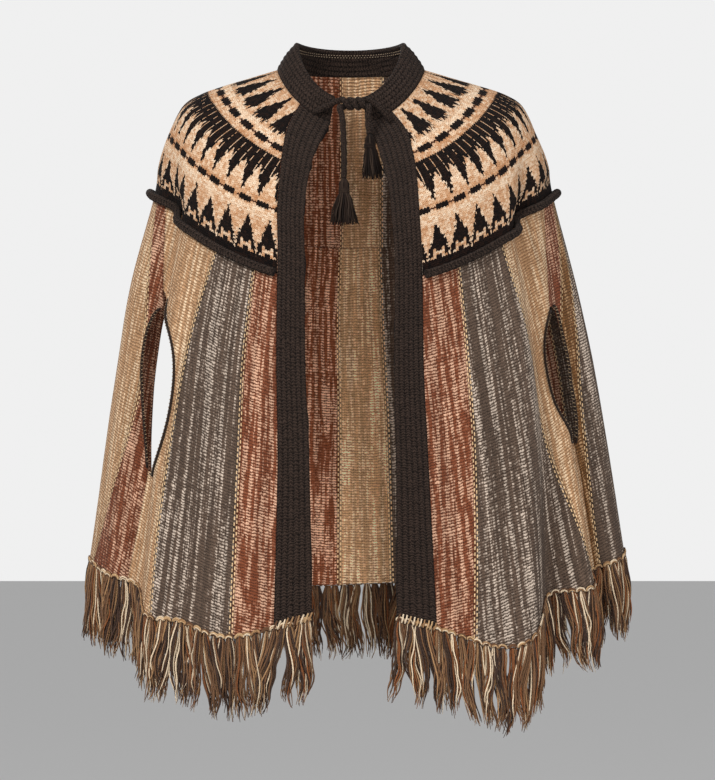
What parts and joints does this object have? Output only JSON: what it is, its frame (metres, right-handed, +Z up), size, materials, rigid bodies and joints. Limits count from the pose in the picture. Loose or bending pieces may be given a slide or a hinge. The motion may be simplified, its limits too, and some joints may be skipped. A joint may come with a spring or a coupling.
{
  "type": "knitted poncho sweater",
  "caption": "Open-front knitted poncho with a round patterned yoke, ribbed collar and bands, striped body, arm slits, fringed hem and tasselled neck tie.",
  "frame": {"origin": "centre of the neck, level with the top of the shoulders, where the wearer's neck and shoulders hold the garment up", "axes": "+Z up, the front faces -Y, the wearer's right side is at -X"},
  "size_m": [0.6692, 0.3823, 0.8269],
  "materials": {
    "yoke_knit": "brushed wool jacquard knit",
    "striped_knit": "space-dyed reverse stocking-stitch wool",
    "rib_knit": "dark brown wool rib",
    "fringe_yarn": "loose mixed wool yarn",
    "tie_yarn": "dark brown wool cord"
  },
  "bodies": {
    "root": {"collar": "rib_knit", "yoke": "yoke_knit", "yoke_rolled_edge": "rib_knit", "front_band_right": "rib_knit", "front_band_left": "rib_knit", "front_right": "striped_knit", "side_right": "striped_knit", "back": "striped_knit", "side_left": "striped_knit", "front_left": "striped_knit", "fringe_front_right": "fringe_yarn", "fringe_side_right": "fringe_yarn", "fringe_back": "fringe_yarn", "fringe_side_left": "fringe_yarn", "fringe_front_left": "fringe_yarn", "tie_cord_right": "tie_yarn", "tie_cord_left": "tie_yarn", "tassel_right": "tie_yarn", "tassel_left": "tie_yarn"}
  },
  "joints": []
}
